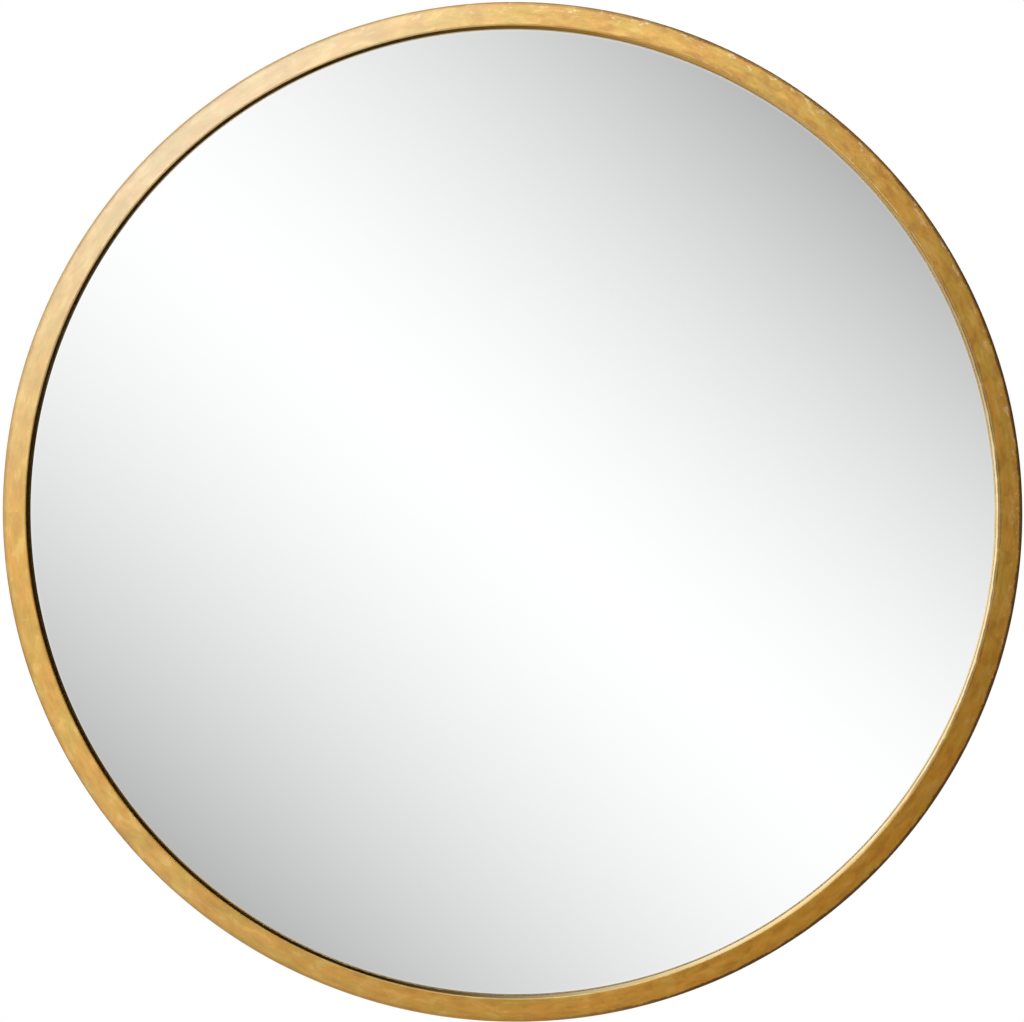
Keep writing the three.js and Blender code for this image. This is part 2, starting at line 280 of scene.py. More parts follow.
def revolve(name, profile, segments, materials, closed=True, shift=None, slots=None):
    """Turns a (radius, y) profile about the Y axis. An open one starts and ends on the axis.

    shift moves a point at an angle round the axis. slots gives the material's index for the
    faces between each point and the next.
    """
    verts, rows = [], []
    for point in profile:
        if point[0] < ON_AXIS:
            rows.append([len(verts)] * segments)
            verts.append((0, point[1], 0))
            continue
        row = []
        for segment in range(segments):
            angle = 2 * math.pi * segment / segments
            radius, depth = shift(angle, point) if shift else point
            row.append(len(verts))
            verts.append((radius * math.sin(angle), depth, radius * math.cos(angle)))
        rows.append(row)
    faces, face_slots = [], []
    for index in range(len(rows) if closed else len(rows) - 1):
        lower, upper = rows[index], rows[(index + 1) % len(rows)]
        for segment in range(segments):
            after = (segment + 1) % segments
            corners = [lower[segment], lower[after], upper[after], upper[segment]]
            face = list(dict.fromkeys(corners))
            if len(face) > 2:
                faces.append(face)
                face_slots.append(slots[index] if slots else 0)
    piece = new_piece(name, verts, faces, materials)
    for polygon, slot in zip(piece.data.polygons, face_slots):
        polygon.material_index = slot
    return keep_flats(piece)


def tube_faces(rows, sides, closed=False):
    """Faces of a tube of rows with as many points as sides, capped where it isn't closed."""
    faces = []
    for row in range(rows if closed else rows - 1):
        a, b = row * sides, ((row + 1) % rows) * sides
        for step in range(sides):
            after = (step + 1) % sides
            faces.append([a + step, a + after, b + after, b + step])
    if not closed:
        faces.append(list(range(sides)))
        faces.append(list(range((rows - 1) * sides, rows * sides)))
    return faces


def inward_normals(outline):
    """The direction inwards at each point of a closed outline."""
    count = len(outline)
    inward = []
    for index in range(count):
        along = outline[(index + 1) % count] - outline[index - 1]
        inward.append(Vector((-along.y, along.x)).normalized())
    middle = sum(outline, Vector((0, 0))) / count
    if sum((middle - p).dot(n) for p, n in zip(outline, inward)) < 0:
        inward = [-n for n in inward]
    return inward


def plate(name, outline, rear, thickness, edge, material):
    """A plate across Y with rounded edges, from its outline of (x, z)."""
    levels = [(edge * (1 - math.sin(turn)), edge * (1 - math.cos(turn)))
              for turn in arc(PLATE_EDGE_STEPS)]
    rows = [(inset, rear - drop) for inset, drop in levels]
    rows += [(inset, rear - thickness + drop) for inset, drop in reversed(levels)]
    inward = inward_normals(outline)
    verts = []
    for inset, depth in rows:
        for point, normal in zip(outline, inward):
            moved = point + normal * inset
            verts.append((moved.x, depth, moved.y))
    return keep_flats(new_piece(name, verts, tube_faces(len(rows), len(outline)), (material,)))


def sweep(name, path, radius_at, sides, material, first_side, closed=False):
    """A round tube along a path, with flat ends where it isn't closed."""
    verts = []
    count = len(path)
    side = first_side
    for index, here in enumerate(path):
        before = path[index - 1] if index or closed else here
        after = path[(index + 1) % count] if index < count - 1 or closed else here
        along = (after - before).normalized()
        side = (side - along * side.dot(along)).normalized()
        other = along.cross(side)
        radius = radius_at(index / (count - 1))
        for step in range(sides):
            angle = 2 * math.pi * step / sides
            verts.append(here + (side * math.cos(angle) + other * math.sin(angle)) * radius)
    return new_piece(name, verts, tube_faces(count, sides, closed), (material,))


def move(piece, matrix):
    """Puts the place into the mesh, so the object stays at the origin."""
    piece.data.transform(matrix)
    piece.data.update()
    return piece


def settle(piece, body, slot, *nodes):
    """Gives a piece its body and hides the CAD nodes that it stands for. slot is not used."""
    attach(piece, body)
    if nodes:
        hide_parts(*nodes)
    return piece


# -------- material helpers
class Graph:
    """A node tree with short calls; every call returns an output socket, apart from node."""

    def __init__(self, tree):
        self.tree = tree

    def node(self, kind, inputs=None, **settings):
        made = self.tree.nodes.new("ShaderNode" + kind)
        for key, value in settings.items():
            setattr(made, key, value)
        for key, value in (inputs or {}).items():
            if isinstance(value, bpy.types.NodeSocket):
                self.tree.links.new(value, made.inputs[key])
            else:
                made.inputs[key].default_value = value
        return made

    def math(self, operation, first, second=0.0, third=0.0):
        return self.node("Math", {0: first, 1: second, 2: third}, operation=operation).outputs[0]

    def plus(self, first, second):
        return self.math("ADD", first, second)

    def minus(self, first, second):
        return self.math("SUBTRACT", first, second)

    def times(self, first, second):
        return self.math("MULTIPLY", first, second)

    def times_plus(self, first, second, third):
        return self.math("MULTIPLY_ADD", first, second, third)

    def larger(self, first, second):
        return self.math("MAXIMUM", first, second)

    def toward(self, x, z, direction):
        """How far (x, z) lies in a direction, also given as (x, z)."""
        return self.plus(self.times(x, direction[0]), self.times(z, direction[1]))

    def length(self, first, second):
        squares = self.plus(self.math("POWER", first, 2.0), self.math("POWER", second, 2.0))
        return self.math("SQRT", squares)

    def mix(self, amount, first, second, blend="MIX"):
        made = self.node("Mix", {0: amount}, data_type="RGBA", blend_type=blend)
        for index, value in ((6, first), (7, second)):
            if isinstance(value, bpy.types.NodeSocket):
                self.tree.links.new(value, made.inputs[index])
            else:
                made.inputs[index].default_value = (*value, 1)
        return made.outputs[2]

    def between(self, value, low, high, to_low=0.0, to_high=1.0):
        """value from low to high, as a smooth step from to_low to to_high."""
        inputs = {0: value, 1: low, 2: high, 3: to_low, 4: to_high}
        made = self.node("MapRange", inputs, interpolation_type="SMOOTHSTEP")
        return made.outputs[0]

    def noise(self, vector, scale, detail=3.0, roughness=0.5, distortion=0.0):
        inputs = {"Vector": vector, "Scale": scale, "Detail": detail, "Roughness": roughness,
                  "Distortion": distortion}
        return self.node("TexNoise", inputs).outputs[0]

    def vector(self, x, y, z):
        return self.node("CombineXYZ", {0: x, 1: y, 2: z}).outputs[0]

    def bump(self, height, distance, strength=1.0, normal=None):
        inputs = {"Height": height, "Distance": distance, "Strength": strength}
        if normal:
            inputs["Normal"] = normal
        return self.node("Bump", inputs).outputs[0]

    def place(self):
        return self.node("TexCoord").outputs["Object"]

    def split(self, vector):
        return self.node("SeparateXYZ", {0: vector}).outputs


class Finish(Graph):
    """The graph of a new material and its Principled shader."""

    def __init__(self, name):
        self.material = bpy.data.materials.new(name)
        self.material.use_nodes = True
        super().__init__(self.material.node_tree)
        self.shader = self.tree.nodes["Principled BSDF"]

    def dress(self, linked, constants):
        for key, value in linked.items():
            self.tree.links.new(value, self.shader.inputs[key])
        for key, value in constants.items():
            self.shader.inputs[key].default_value = value
        return self.material


# -------- leaf on the ring
BOLE = (0.085, 0.032, 0.010)  # red-brown clay under the leaf
DEEP_GOLD = (0.56, 0.26, 0.020)
WARM_GOLD = (0.82, 0.41, 0.048)
OLIVE_GOLD = (0.68, 0.44, 0.048)
PALE_GOLD = (0.93, 0.62, 0.17)
SKIPPED_GOLD = (0.98, 0.80, 0.50)
# painted highlight: paler leaf towards the upper left, on the lit side
PAINTED_HIGHLIGHT_GOLD = (0.97, 0.78, 0.46)
# painted shade: darker leaf towards the lower right, on the unlit side
PAINTED_SHADE_GOLD = (0.42, 0.20, 0.010)
POLISHED_GOLD = (0.97, 0.85, 0.62)
POLISHED_WARM = (0.94, 0.76, 0.46)
POLISHED_STROKE = (0.78, 0.52, 0.18)
# painted shade: the bevel's dark band on the right side
PAINTED_SHADE_BEVEL = (0.14, 0.08, 0.015)

# Marks drawn out along the ring: length and width, detail and shift of their noise
HUE = (34 * MM, 6.5 * MM, 3.0, 0.0)
PATCHES = (17 * MM, 7.0 * MM, 4.0, 40.0)
STROKES = (12 * MM, 1.5 * MM, 3.0, 90.0)
SKIPS = (8 * MM, 3.5 * MM, 3.0, 150.0)
# Marks as long as wide: scale, detail, roughness and distortion of their noise
GRAIN = (420.0, 4.0, 0.65)
PIN_HOLES = (700.0, 2.0, 0.5)
FLECKS = (230.0, 2.0, 0.5, 0.6)
LUMPS = (90.0, 2.0)
LEAF_STRIP = 46.0 * MM  # length of one strip of leaf round the ring
STRIP_SLANT = 12.0  # strips across one metre of the ring's width
BAND_WANDER = 4.5 * MM  # how far the edge of a band along an arris wanders
BAND_START, BAND_END = 0.5 * MM, 0.7 * MM  # its soft edge, before and after its reach
# Reaches of the bands at the arrises: rubbed leaf and painted shade at the outer one, painted shade
# alone at the inner one and on the bevel
OUTER_RUB_AND_SHADE_REACH = 2.3 * MM
INNER_SHADE_REACH = 1.3 * MM
BEVEL_SHADE_REACH = 1.5 * MM
LUMP_HEIGHT = 0.12 * MM
LEAF_HEIGHT = 0.05 * MM
POLISH_HEIGHT = 0.006 * MM
LACQUER_ROUGHNESS = 0.34
LACQUER_IOR = 1.95

# side is +X and height +Z; along, radius and across follow the ring, depth is Y
RingPlace = namedtuple("RingPlace", "point side height along radius across depth")


def ring_place(g):
    """Where the ring is shaded. radius is that of the true circle, across is 0 at its outside."""
    point = g.place()
    x, y, z = g.split(point)
    turn = g.math("ARCTAN2", z, x)
    radius = g.length(x, z)
    for waves, size, crest in UNTRUE_WAVES:
        phase = g.times_plus(turn, float(waves), -waves * math.radians(crest))
        wave = g.minus(g.math("COSINE", phase), 1.0)
        radius = g.times_plus(wave, -size, radius)
    across = g.minus(radius, OUTER)
    return RingPlace(point, x, z, g.times(turn, -OUTER), radius, across, y)


def streaks(g, ring, length, width, detail, shift):
    """Soft noise drawn out along the ring to features of this length and width."""
    drawn = g.vector(g.times_plus(ring.along, 1 / length, shift),
                     g.times(ring.across, 1 / width), g.times(ring.depth, 1 / width))
    return g.noise(drawn, 1.0, detail, 0.55, 0.3)


def broken_line(g, ring):
    """Changes along the ring alone, so that a band of rubbed leaf and painted shade is longer than
    it is wide.
    """
    return g.noise(g.vector(g.times(ring.along, 45.0), 0.0, 0.0), 1.0, 4.0, 0.65)


def arris_band(g, ring, arris_radius, reach, ragged):
    """1 in a ragged band along an arris of the face, 0 away from it; it carries rubbed leaf and
    painted shade.
    """
    away = g.length(g.minus(ring.radius, arris_radius), g.minus(ring.depth, FRONT))
    away = g.times_plus(g.minus(ragged, 0.7), BAND_WANDER, away)
    return g.between(away, reach - BAND_START, reach + BAND_END, 1.0, 0.0)


def leaf_strips(g, ring):
    """Leaf laid in short torn strips across the ring: the tint of each, and its faint lap."""
    wander = g.noise(ring.point, 70.0, 4.0, 0.6)
    strip = g.times_plus(ring.along, 1 / LEAF_STRIP, g.times(ring.across, STRIP_SLANT))
    inputs = {"W": g.times_plus(wander, 0.5, strip), "Scale": 1.0}
    cells = g.node("TexVoronoi", inputs, voronoi_dimensions="1D")
    edges = g.node("TexVoronoi", inputs, voronoi_dimensions="1D", feature="DISTANCE_TO_EDGE")
    tint = g.split(cells.outputs["Color"])[0]
    return tint, g.between(edges.outputs["Distance"], 0.0, 0.05, 1.0, 0.0)


def leaf_skips(g, ring):
    """Pale marks on the outer half of the face, most of them at the upper right."""
    skip = g.between(streaks(g, ring, *SKIPS), 0.56, 0.66)
    skip = g.times(skip, g.between(ring.across, -11 * MM, -3 * MM, 0.1, 0.6))
    upper_right = g.plus(ring.height, ring.side)
    skip = g.times(skip, g.between(upper_right, 0.1, 0.4, 0.15, 1.0))
    return g.times(skip, g.between(ring.depth, FRONT + 1 * MM, FRONT + 5 * MM, 1.0, 0.25))


def rub_and_painted_shade(g, ring, fine):
    """Rubbed leaf at the arrises, with painted shade: strongest on the right, a little less at the
    top, and at the inner arris only on the far right.
    """
    ragged = g.plus(g.times(fine, 0.4), broken_line(g, ring))
    rub_and_shade_weight = g.between(ring.side, -0.02, 0.16, 0.22, 1.0)
    rub_and_shade_weight = g.times(rub_and_shade_weight, g.between(ring.height, 0.10, 0.35, 1.0, 0.7))
    outer = g.times(arris_band(g, ring, OUTER, OUTER_RUB_AND_SHADE_REACH, ragged), rub_and_shade_weight)
    far_right = g.between(ring.side, 0.26, 0.38, 0.0, 0.6)
    return g.larger(outer, g.times(arris_band(g, ring, FACE_INNER, INNER_SHADE_REACH, ragged), far_right))


def gold_leaf():
    """Leaf brushed down along the ring: long soft streaks, finer strokes, grain and flecks, with
    painted light: a highlight to the upper left, shade to the lower right and at the arrises on the
    right.
    """
    g = Finish("gold_leaf")
    ring = ring_place(g)
    tint, lap = leaf_strips(g, ring)
    hue = streaks(g, ring, *HUE)
    patch = streaks(g, ring, *PATCHES)
    stroke = streaks(g, ring, *STROKES)
    fine = g.noise(ring.point, *GRAIN)
    pin_hole = g.between(g.noise(ring.point, *PIN_HOLES), 0.70, 0.78)
    fleck = g.between(g.noise(ring.point, *FLECKS), 0.68, 0.76)
    rub_and_shade = rub_and_painted_shade(g, ring, fine)
    dark_marks = g.larger(g.times(rub_and_shade, 0.9), g.times(pin_hole, 0.4))
    # The deep patches grow towards the right: painted shade on the side away from the light
    rightward = g.between(ring.side, -0.1, 0.2, 0.45, 0.85)
    upper_left = g.minus(ring.height, ring.side)

    colour = g.mix(g.between(hue, 0.41, 0.59, 0.14, 0.86), WARM_GOLD, OLIVE_GOLD)
    for amount, tone in (
        # deep patches: random tone, stronger on the right as painted shade
        (g.times(g.between(patch, 0.48, 0.66), rightward), DEEP_GOLD),
        (g.between(patch, 0.48, 0.34, 0.0, 0.55), PALE_GOLD),
        (g.times(tint, 0.12), DEEP_GOLD),
        (g.between(stroke, 0.50, 0.75, 0.0, 0.22), PALE_GOLD),
        (g.between(stroke, 0.50, 0.25, 0.0, 0.22), DEEP_GOLD),
        (g.times(lap, 0.08), PALE_GOLD),
        (g.times(fleck, 0.30), PALE_GOLD),
        (g.between(fine, 0.56, 0.8, 0.0, 0.30), DEEP_GOLD),
        (g.between(ring.across, -9 * MM, 0.0, 0.0, 0.22), DEEP_GOLD),
        (leaf_skips(g, ring), SKIPPED_GOLD),
        # painted highlight: paler towards the upper left
        (g.between(upper_left, 0.34, 0.54, 0.0, 0.43), PAINTED_HIGHLIGHT_GOLD),
        # painted shade: darker towards the lower right
        (g.between(upper_left, -0.42, -0.54, 0.0, 0.24), PAINTED_SHADE_GOLD),
        # bole at pin holes and rubbed arrises, and as painted shade on the arrises at the right
        (dark_marks, BOLE),
    ):
        colour = g.mix(amount, colour, tone)

    rough = g.times_plus(dark_marks, 0.12, g.times_plus(patch, 0.16, 0.43))
    metal = g.times_plus(dark_marks, -0.5, 0.98)
    relief = g.times_plus(lap, 0.25, g.times(fine, 0.35))
    relief = g.times_plus(stroke, 0.35, relief)
    relief = g.times_plus(dark_marks, -0.3, relief)
    lumps = g.bump(g.noise(ring.point, *LUMPS), LUMP_HEIGHT)
    normal = g.bump(relief, LEAF_HEIGHT, 0.8, lumps)
    lacquer = g.times_plus(rub_and_shade, -0.85, 1.0)
    lacquer = g.times(lacquer, g.between(upper_left, -0.40, -0.54, 1.0, 0.55))
    return g.dress({"Base Color": colour, "Roughness": rough, "Metallic": metal, "Normal": normal,
                    "Coat Weight": lacquer},
                   {"Coat Roughness": LACQUER_ROUGHNESS, "Coat IOR": LACQUER_IOR})


def burnished_leaf():
    """Leaf polished with an agate on the bevel: paler and nearly a mirror, with painted shade along
    it on the right.
    """
    g = Finish("burnished_leaf")
    ring = ring_place(g)
    cloud = g.noise(ring.point, 40.0, 4.0, 0.6)
    drawn = g.vector(g.times(ring.along, 60.0), g.times(ring.radius, 900.0),
                     g.times(ring.depth, 900.0))
    stroke = g.noise(drawn, 1.0, 3.0, 0.6)
    ragged = g.plus(broken_line(g, ring), 0.2)
    # Painted shade: a dark band along the bevel, on the right side only
    rightward = g.between(ring.side, 0.22, 0.37, 0.0, 0.8)
    dark_marks = g.times(arris_band(g, ring, FACE_INNER, BEVEL_SHADE_REACH, ragged), rightward)
    colour = g.mix(g.between(cloud, 0.35, 0.65), POLISHED_GOLD, POLISHED_WARM)
    colour = g.mix(g.between(stroke, 0.50, 0.75, 0.0, 0.30), colour, POLISHED_STROKE)
    colour = g.mix(dark_marks, colour, PAINTED_SHADE_BEVEL)
    rough = g.times_plus(dark_marks, 0.25, g.times_plus(stroke, 0.10, 0.10))
    normal = g.bump(stroke, POLISH_HEIGHT, 0.6)
    return g.dress({"Base Color": colour, "Roughness": rough, "Normal": normal}, {"Metallic": 1.0})


# -------- glass, paint, board and plating
def mirror_silver():
    """Silvered glass, a nearly perfect mirror, with a breath of haze and dust."""
    g = Finish("silvered_glass")
    silver, hazy_silver, dust_grey = (0.975, 0.98, 0.98), (0.955, 0.962, 0.965), (0.85, 0.85, 0.85)
    place = g.place()
    haze = g.noise(place, 9.0, 3.0)
    dust = g.between(g.noise(place, 1400.0, 2.0), 0.7, 0.85)
    colour = g.mix(g.times(haze, 0.4), silver, hazy_silver)
    colour = g.mix(g.times(dust, 0.04), colour, dust_grey)
    normal = g.bump(g.noise(place, 5.0, 1.0), 0.02 * MM, 0.5)
    return g.dress({"Base Color": colour, "Normal": normal}, {"Metallic": 1.0, "Roughness": 0.0})


def rough_paint(name, low, high, scale, roughness, relief, metallic=0.0):
    """Cloudy paint, rubber, felt or card: two tones and a grainy relief."""
    g = Finish(name)
    place = g.place()
    cloud = g.noise(place, scale / 12, 4.0, 0.6)
    grain = g.noise(place, scale, 3.0, 0.6)
    blend = g.plus(g.times(cloud, 0.6), g.times(grain, 0.4))
    colour = g.mix(g.between(blend, 0.35, 0.65), low, high)
    rough = g.times_plus(grain, 0.2, roughness - 0.1)
    return g.dress({"Base Color": colour, "Roughness": rough, "Normal": g.bump(grain, relief)},
                   {"Metallic": metallic})


def fibreboard():
    """Pressed fibre: cloudy brown with felted hairs, dark specks and pale flakes."""
    g = Finish("fibreboard")
    brown, light_brown, fibre_brown = (0.33, 0.20, 0.105), (0.40, 0.255, 0.14), (0.27, 0.155, 0.078)
    speck_brown, flake_brown = (0.13, 0.07, 0.035), (0.52, 0.36, 0.22)
    place = g.place()
    cloud = g.noise(place, 14.0, 5.0, 0.6)
    felted = g.noise(place, 260.0, 5.0, 0.7, 1.5)
    specks = g.between(g.noise(place, 640.0, 2.0), 0.64, 0.74)
    flakes = g.between(g.noise(place, 480.0, 2.0, 0.5, 2.0), 0.6, 0.75)
    colour = g.mix(g.between(cloud, 0.3, 0.7), brown, light_brown)
    colour = g.mix(g.between(felted, 0.35, 0.7, 0.0, 0.55), colour, fibre_brown)
    colour = g.mix(g.times(specks, 0.55), colour, speck_brown)
    colour = g.mix(g.times(flakes, 0.4), colour, flake_brown)
    relief = g.plus(felted, g.times(specks, -0.5))
    rough = g.times_plus(felted, 0.15, 0.72)
    normal = g.bump(relief, 0.08 * MM, 0.7)
    return g.dress({"Base Color": colour, "Roughness": rough, "Normal": normal}, {})


def plated_steel(name, low, high, stain, roughness):
    """Bright plating: spangled tone, fine scratches and a few stains."""
    g = Finish(name)
    place = g.place()
    spangle = g.node("TexVoronoi", {"Vector": place, "Scale": 420.0})
    tone = g.split(spangle.outputs["Color"])[0]
    drawn = g.node("Mapping", {"Vector": place, "Scale": (2600.0, 2600.0, 160.0)})
    scratch = g.noise(drawn.outputs[0], 1.0, 2.0)
    cloud = g.noise(place, 160.0, 4.0, 0.6)
    colour = g.mix(g.times_plus(tone, 0.4, g.times(scratch, 0.5)), low, high)
    colour = g.mix(g.between(cloud, 0.58, 0.75, 0.0, 0.5), colour, stain)
    rough = g.times_plus(cloud, 0.2, roughness - 0.1)
    normal = g.bump(g.plus(scratch, g.times(cloud, 0.5)), 0.02 * MM, 0.5)
    return g.dress({"Base Color": colour, "Roughness": rough, "Normal": normal}, {"Metallic": 1.0})


LEAF = gold_leaf()
BURNISHED = burnished_leaf()
SILVER = mirror_silver()
BLACK_PAINT = rough_paint("black_steel", (0.012, 0.012, 0.012), (0.032, 0.030, 0.028),
                          900.0, 0.5, 0.05 * MM, 0.2)
FELT = rough_paint("black_felt", (0.006, 0.006, 0.006), (0.02, 0.019, 0.018),
                   1500.0, 0.95, 0.2 * MM)
PACKING = rough_paint("packing_board", (0.26, 0.20, 0.13), (0.36, 0.28, 0.19),
                      700.0, 0.9, 0.1 * MM)
RUBBER = rough_paint("black_rubber", (0.012, 0.012, 0.013), (0.026, 0.026, 0.027),
                     1200.0, 0.8, 0.03 * MM)
BACKING_PAINT = rough_paint("backing_paint", (0.10, 0.10, 0.105), (0.14, 0.14, 0.145),
                            600.0, 0.6, 0.03 * MM)
BOARD = fibreboard()
ZINC = plated_steel("zinc_steel", (0.46, 0.47, 0.48), (0.66, 0.67, 0.68), (0.52, 0.49, 0.38), 0.36)
BRASSED = plated_steel("brassed_steel", (0.52, 0.36, 0.13), (0.72, 0.52, 0.22),
                       (0.40, 0.26, 0.10), 0.34)
WELD = rough_paint("weld", (0.02, 0.019, 0.018), (0.06, 0.055, 0.05), 700.0, 0.5, 0.1 * MM, 0.4)


# -------- the ring
def out_of_true(angle):
    """How far the face stands inwards of a true circle, at an angle from +X towards +Z."""
    shift = 0.0
    for waves, size, crest in UNTRUE_WAVES:
        shift += size * (math.cos(waves * (angle - math.radians(crest))) - 1)
    return shift


def dent_at(angle, depth):
    """How far the surface is pressed in there."""
    spot = Vector((math.sin(angle), math.cos(angle), depth * DENT_DEPTH_SCALE)) * DENT_SCALE
    dent = (0.5 + 0.5 * noise.noise(spot)) * DENT
    return dent + (0.5 + 0.5 * noise.noise(spot * SMALL_DENT_SCALE)) * SMALL_DENT


def hand_worked(angle, point):
    """Where a point of the ring's profile stands at an angle from +Z towards +X."""
    radius, depth = point
    dent = dent_at(angle, depth)
    depth += dent if depth < FRONT + DENTED_SKIN else 0
    radius -= dent if radius > OUTER - DENTED_SKIN else 0
    fade = max(0.0, 1 - (depth - FRONT) / UNTRUE_DEPTH)
    return radius + out_of_true(math.pi / 2 - angle) * fade, depth


def ring_finish(point):
    """Index of the finish: 0 leaf, 1 black paint inside the ring, 2 the burnished bevel."""
    radius, depth = point
    inside = SIGHT + NIB_WIDTH < radius < OUTER - 0.5 * WALL
    if inside and depth > PAINT_FRONT:
        return 1
    return 2 if radius < BURNISH_OUTER else 0


def make_ring():
    corners = [
        (SIGHT, LIP_REAR - SIGHT_LAND, SIGHT_ROUNDING),
        (FACE_INNER, FRONT, BEVEL_ROUNDING),
        (OUTER, FRONT, OUTER_ROUNDING),
        (OUTER, REAR, REAR_ROUNDING),
        (WALL_INNER, REAR, REAR_ROUNDING),
        (WALL_INNER, LIP_REAR, LIP_FILLET),
        (SIGHT + NIB_WIDTH, LIP_REAR, NIB_FILLET),
        (SIGHT + NIB_WIDTH, LIP_REAR + NIB_DEPTH, NIB_ROUNDING),
        (SIGHT, LIP_REAR + NIB_DEPTH, NIB_ROUNDING),
    ]
    profile = rounded(corners, steps=6)
    ring = revolve("gilded_ring", profile, RING_SEGMENTS, (LEAF, BLACK_PAINT, BURNISHED),
                   shift=hand_worked, slots=[ring_finish(p) for p in profile])
    return settle(ring, BODY, "gold_leaf", "gilded_frame")


# -------- glass and what backs it
def make_glass():
    """The dome with its flat rim, silvered in front and painted on the edge and the rear."""
    dome_radius = SIGHT + FELT_INSET
    sphere = (dome_radius**2 + DOME_RISE**2) / (2 * DOME_RISE)
    dome = [(sphere * math.sin(angle), glass_low.y + sphere * (1 - math.cos(angle)))
            for angle in arc(DOME_STEPS, turn=math.asin(dome_radius / sphere))]
    rim_front = glass_low.y + DOME_RISE
    rim_rear = rim_front + GLASS_THICKNESS
    front = [*dome, (DISC - GLASS_GROUND_EDGE, rim_front)]
    rear = [
        (DISC, rim_front + GLASS_GROUND_EDGE),
        (DISC, rim_rear - GLASS_GROUND_EDGE),
        (DISC - GLASS_GROUND_EDGE, rim_rear),
    ]
    rear += [(radius, depth + GLASS_THICKNESS)
             for radius, depth in reversed(dome[::DOME_REAR_STRIDE])]
    glass = revolve("mirror_dome", front + rear, DISC_SEGMENTS, (SILVER, BACKING_PAINT),
                    closed=False, slots=[0] * len(front) + [1] * len(rear))
    return settle(glass, BODY, "silvered_glass", "convex_mirror_glass")


def square_ring(name, inner, front, rear, edge, finish):
    """A flat ring as wide outside as the glass."""
    corners = [(inner, front, edge), (DISC, front, edge), (DISC, rear, edge), (inner, rear, edge)]
    return revolve(name, rounded(corners, steps=2), DISC_SEGMENTS, (finish,))


def make_stack():
    felt = square_ring("felt_seat", SIGHT + FELT_INSET, felt_low.y, felt_high.y, FELT_EDGE, FELT)
    settle(felt, BODY, "black_felt", "felt_strip")
    packing = square_ring("packing", DISC - PACKING_WIDTH, packing_low.y, packing_high.y,
                          PACKING_EDGE, PACKING)
    settle(packing, BODY, "packing_board", "packing_ring")
    profile = [
        (0, board_low.y),
        (DISC - BOARD_EDGE, board_low.y),
        (DISC, board_low.y + BOARD_EDGE),
        (DISC, board_high.y - BOARD_EDGE),
        (DISC - BOARD_EDGE, board_high.y),
        (0, board_high.y),
    ]
    board = revolve("back_panel", profile, DISC_SEGMENTS, (BOARD,), closed=False)
    settle(board, BODY, "fibreboard", "backboard")


# -------- screws
def recess_cutter(name, head, height, turn):
    """One bar of the cross recess, tapered inwards."""
    verts = []
    for depth, spread in ((height + RECESS_OVERSHOOT, 1.0), (height - RECESS_DEPTH, RECESS_TAPER)):
        for x, z in ((-1, -1), (1, -1), (1, 1), (-1, 1)):
            half_long = head * RECESS_REACH * spread
            half_wide = RECESS_HALF_WIDTH * (0.5 + spread / 2)
            spot = Vector((x * half_long, 0, z * half_wide))
            spot.rotate(Matrix.Rotation(turn, 3, "Y"))
            verts.append((spot.x, depth, spot.z))
    return new_piece(name, verts, tube_faces(2, 4), smooth=False)


def screw_mesh(name, size, finish):
    """Pan head with a cross recess, seated at y = 0, the shank pointing forwards."""
    shank, head, height, length = size
    profile = [(0, -length), (shank * 0.5, -length), (shank, shank - length), (shank, 0)]
    profile += [(head - HEAD_CHAMFER, 0), (head, HEAD_CHAMFER), (head, height * HEAD_SIDE)]
    for angle in arc(HEAD_STEPS)[1:-1]:
        rise = HEAD_SIDE + (1 - HEAD_SIDE) * math.sin(angle)
        profile.append((head * math.cos(angle) ** HEAD_FULLNESS, height * rise))
    profile.append((0, height))
    screw = revolve(name, profile, SMALL_SEGMENTS, (finish,), closed=False)
    cutters = [recess_cutter(name + "_cutter", head, height, turn) for turn in (0, math.pi / 2)]
    for cutter in cutters:
        cut = screw.modifiers.new("recess", "BOOLEAN")
        cut.operation = "DIFFERENCE"
        cut.solver = "EXACT"
        cut.object = cutter
    screw.modifiers.move(0, len(screw.modifiers) - 1)  # the normals come after the cuts
    graph = bpy.context.evaluated_depsgraph_get()
    mesh = bpy.data.meshes.new_from_object(screw.evaluated_get(graph))
    for made in [screw, *cutters]:
        bpy.data.objects.remove(made)
    mesh.name = name
    return mesh


def set_screw(name, mesh, node, slot):
    """A copy of the screw on the node's own axis, turned to its own angle."""
    low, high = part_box(node)
    middle = (low + high) / 2
    piece = bpy.data.objects.new(name, mesh.copy())
    bpy.context.scene.collection.objects.link(piece)
    seat = high.y - max(v.co.y for v in mesh.vertices)
    turn = noise.noise(Vector((middle.x, middle.z, 0.5)) * SCREW_TURN_SCALE) * math.pi
    move(piece, Matrix.Translation((middle.x, seat, middle.z)) @ Matrix.Rotation(turn, 4, "Y"))
    settle(piece, BODY, slot, node)


# -------- lugs and catches
def stadium(length, half, top, steps):
    """Outline as (x, z) of a bar with round ends, the upper one about (0, top)."""
    outline = on_circle(0, top, half, arc(steps, turn=math.pi))
    outline += on_circle(0, top - length + half, half, arc(steps, math.pi, math.pi))
    return [Vector(point) for point in outline]


def weld_bead(name, start, end):
    """A short ripple of weld metal between two points."""
    path = [start.lerp(end, step / (WELD_STEPS - 1)) for step in range(WELD_STEPS)]

    def ripple(share):
        ends = min(1.0, 6 * min(share, 1 - share) + 0.25)
        waves = 0.86 + 0.14 * math.sin(share * 34) + 0.06 * math.sin(share * 91)
        return WELD_RADIUS * ends * waves

    return sweep(name, path, ripple, WELD_SIDES, WELD, Vector((1, 0, 0)))


